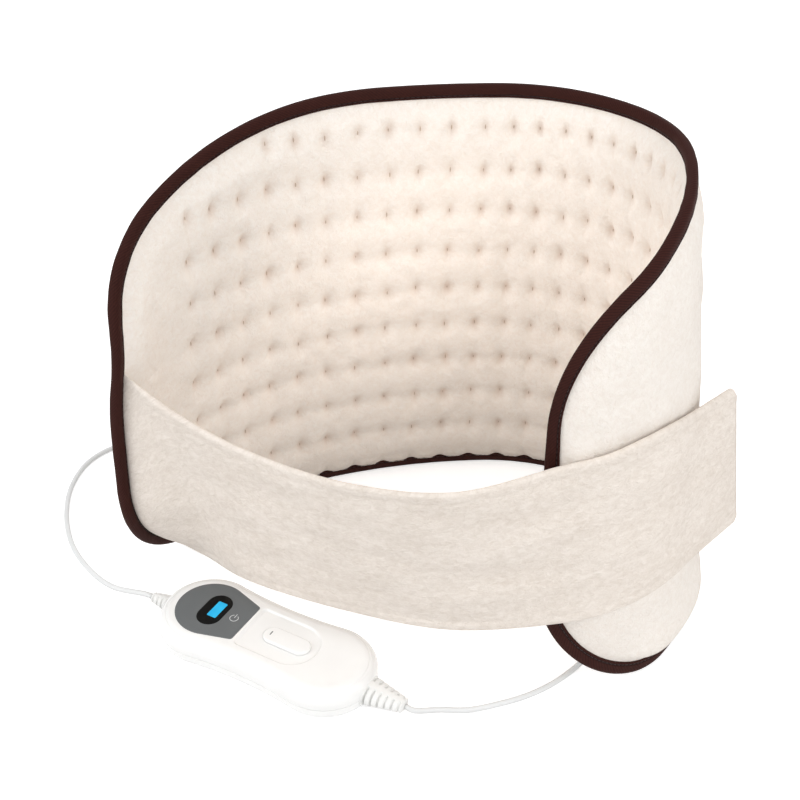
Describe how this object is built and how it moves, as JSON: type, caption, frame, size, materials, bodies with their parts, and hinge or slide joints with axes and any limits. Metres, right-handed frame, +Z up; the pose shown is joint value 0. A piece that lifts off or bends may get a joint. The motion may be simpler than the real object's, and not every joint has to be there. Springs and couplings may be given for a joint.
{
  "type": "heated waist belt with controller",
  "caption": "Plush heating pad bent as a waist belt, quilted inside, taped at the edge, closed by a wide strap, with a cord-mounted slide controller and mains plug.",
  "frame": {"origin": "centre of the footprint of the belt and the controller, on the surface that they stand on", "axes": "+X across the belt, from the strap's sewn end to its free end; +Y from the strap to the wearer's back; +Z up"},
  "size_m": [0.4395, 0.3536, 0.3],
  "materials": {
    "plush_inner": "short plush",
    "plush_outer": "short plush",
    "binding_tape": "woven tape",
    "wadding": "fibre wadding",
    "hook_tape": "hook tape",
    "wire_sleeve": "smooth",
    "shell_white": "moulded gloss",
    "cord_white": "smooth",
    "plug_white": "moulded",
    "panel_grey": "satin",
    "window_dark": "clear dark",
    "light_blue": "lit",
    "board": "laminate",
    "dark_plastic": "moulded",
    "steel": "plain",
    "nickel": "plated"
  },
  "bodies": {
    "belt": {"pad_outer_cover": "plush_outer", "pad_wadding": "wadding", "pad_inner_cover": "plush_inner", "heating_wire": "wire_sleeve", "thermal_cutout_left": "steel", "thermal_cutout_right": "steel", "edge_binding": "binding_tape", "strap_seam_tab": "plush_outer", "pad_cable_gland": "cord_white", "controller_upper_shell": "shell_white", "controller_lower_shell": "shell_white", "case_screw_1": "steel", "case_screw_2": "steel", "case_screw_3": "steel", "case_screw_4": "steel", "display_panel": "panel_grey", "display_window": "window_dark", "level_light": "light_blue", "circuit_board": "board", "display_module": "dark_plastic", "slide_switch": "dark_plastic", "film_capacitor": "dark_plastic", "triac": "dark_plastic", "fuse": "steel", "terminal_block_mains": "dark_plastic", "terminal_block_pad": "dark_plastic", "strain_relief_mains": "cord_white", "strain_relief_pad": "cord_white", "pad_lead": "cord_white", "mains_lead": "cord_white", "mains_coil": "cord_white", "mains_tail": "cord_white", "coil_tie": "dark_plastic", "plug_relief": "plug_white", "plug_body": "plug_white", "plug_pin_left": "nickel", "plug_pin_right": "nickel"},
    "strap": {"strap": "plush_outer", "strap_hook_patch": "hook_tape"},
    "knob": {"slide_knob": "shell_white"}
  },
  "joints": [
    {"name": "strap_swing", "type": "hinge", "parent": "belt", "child": "strap", "pos_m": [-0.17373, -0.01813, 0.108], "axis": [0, 0, -1], "range_deg": [0, 75]},
    {"name": "knob_slide", "type": "slide", "parent": "belt", "child": "knob", "axis": [-0.8652, 0.5015, 0], "range_m": [0, 0.009]}
  ]
}
